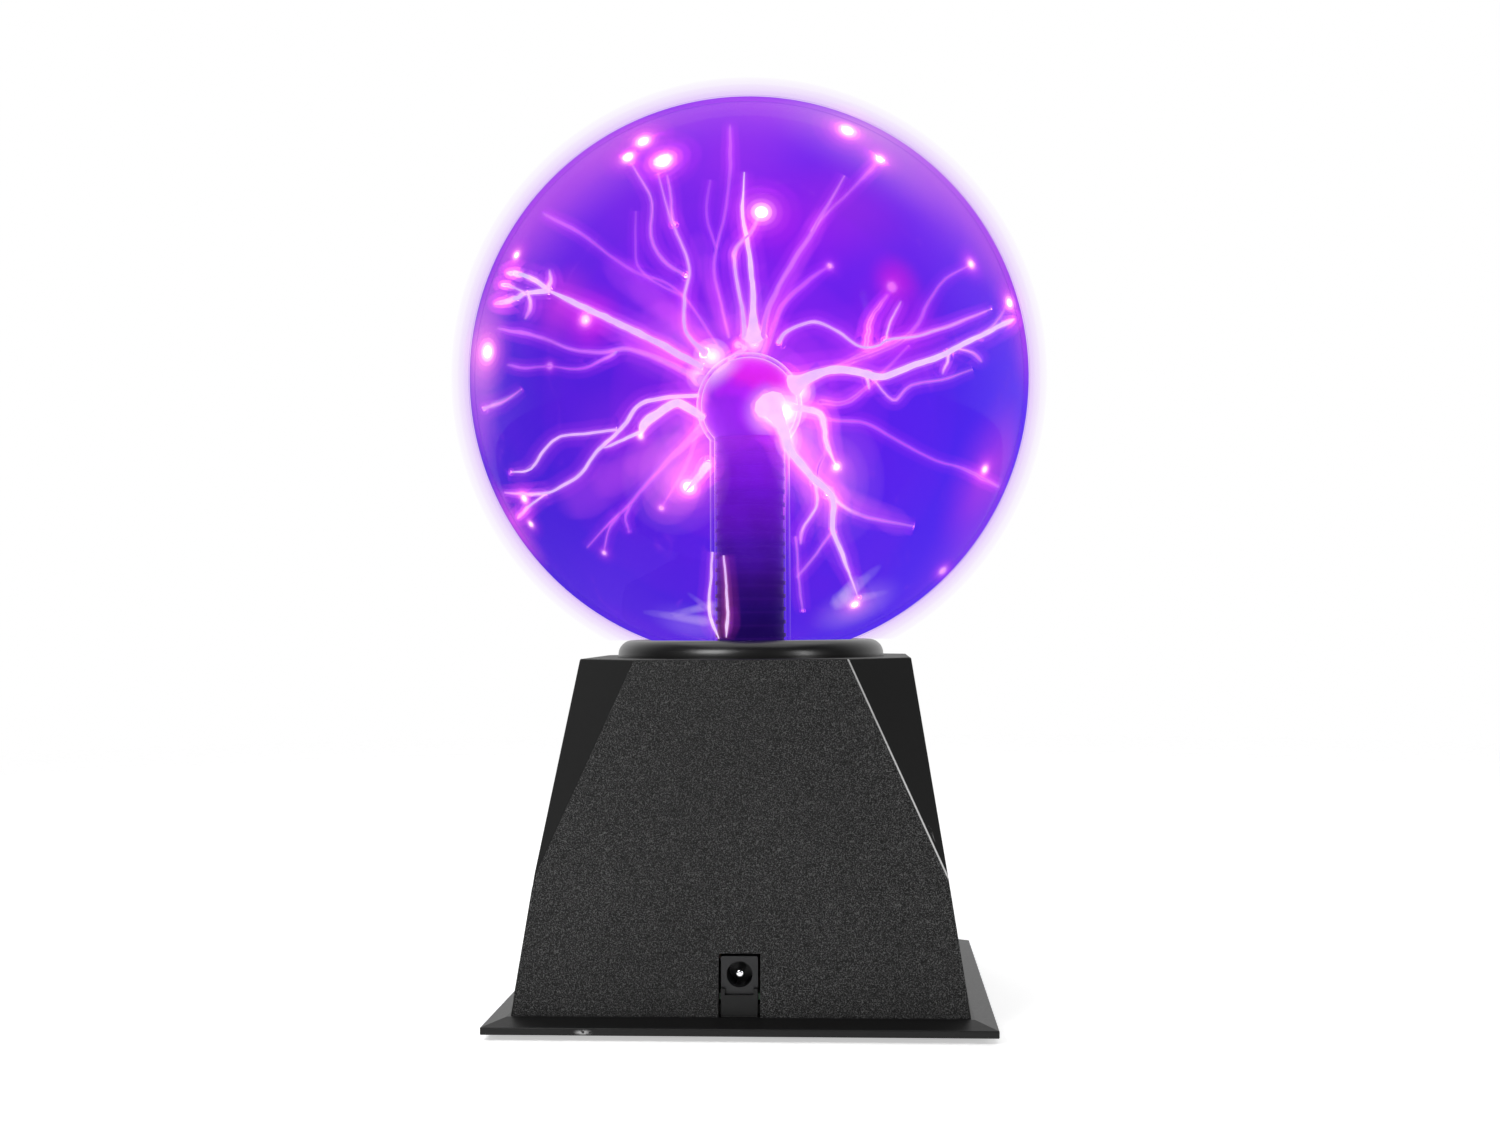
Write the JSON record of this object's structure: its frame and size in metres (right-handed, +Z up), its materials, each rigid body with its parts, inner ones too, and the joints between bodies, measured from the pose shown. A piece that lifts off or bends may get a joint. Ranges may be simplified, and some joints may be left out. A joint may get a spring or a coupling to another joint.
{
  "type": "plasma ball",
  "caption": "Gas-filled glass plasma globe with a stem electrode, standing in a collar on a tapered square housing with facetted corners, a power inlet and a slide switch.",
  "frame": {"origin": "centre of the footprint at the surface the feet stand on", "axes": "+Z up through the globe's centre, -Y out of the power inlet's face, +Y out of the switch's face"},
  "size_m": [0.15, 0.15, 0.2385],
  "materials": {
    "housing_plastic": "fine spark-eroded grain",
    "plate_plastic": "smooth satin",
    "collar_plastic": "smooth satin",
    "foot_rubber": "matt",
    "gasket_rubber": "matt",
    "screw_steel": "zinc plated",
    "switch_screw_steel": "nickel plated",
    "globe_glass": "clear, lit violet from inside",
    "stem_glass": "clear, lit magenta from inside",
    "sleeve_metal": "dark oxidised",
    "cap_metal": "thin mesh",
    "contact_brass": "bright",
    "inlet_pin_metal": "polished",
    "inlet_contact_metal": "polished",
    "plug_nylon": "natural nylon",
    "sealant_silicone": "translucent",
    "lead_silicone": "smooth",
    "wire_insulation": "smooth",
    "board_laminate": "solder mask",
    "core_ferrite": "fired",
    "bobbin_plastic": "moulded",
    "winding_tape": "taped copper",
    "heatsink_aluminium": "extruded",
    "chip_epoxy": "moulded epoxy",
    "capacitor_sleeve": "shrink sleeve",
    "film_capacitor_resin": "dipped",
    "resistor_lacquer": "lacquered",
    "microphone_can": "drawn",
    "inlet_plastic": "moulded",
    "bracket_steel": "tin plated",
    "switch_plastic": "phenolic board",
    "terminal_brass": "tinned",
    "knob_plastic": "moulded"
  },
  "bodies": {
    "base": {"housing": "housing_plastic", "base_plate": "plate_plastic", "collar": "collar_plastic", "feet": "foot_rubber", "globe_gasket": "gasket_rubber", "base_screws": "screw_steel", "collar_screws": "screw_steel", "board_screws": "screw_steel", "switch_screws": "switch_screw_steel", "globe": "globe_glass", "electrode_stem": "stem_glass", "electrode_sleeve": "sleeve_metal", "electrode_cap": "cap_metal", "contact_rod": "contact_brass", "inlet_pin": "inlet_pin_metal", "inlet_contact": "inlet_contact_metal", "stem_plug": "plug_nylon", "neck_sealant": "sealant_silicone", "high_voltage_lead": "lead_silicone", "switch_leads": "wire_insulation", "circuit_board": "board_laminate", "transformer_core": "core_ferrite", "transformer_bobbin": "bobbin_plastic", "transformer_winding": "winding_tape", "heatsink": "heatsink_aluminium", "power_transistor": "chip_epoxy", "oscillator_chip": "chip_epoxy", "electrolytic_capacitors": "capacitor_sleeve", "film_capacitor": "film_capacitor_resin", "resistors": "resistor_lacquer", "microphone": "microphone_can", "inlet_body": "inlet_plastic", "switch_bracket": "bracket_steel", "switch_base": "switch_plastic", "switch_terminals": "terminal_brass"},
    "knob": {"switch_knob": "knob_plastic"}
  },
  "joints": [
    {"name": "switch_slide", "type": "slide", "parent": "base", "child": "knob", "axis": [1, 0, 0], "range_m": [0, 0.004]}
  ]
}
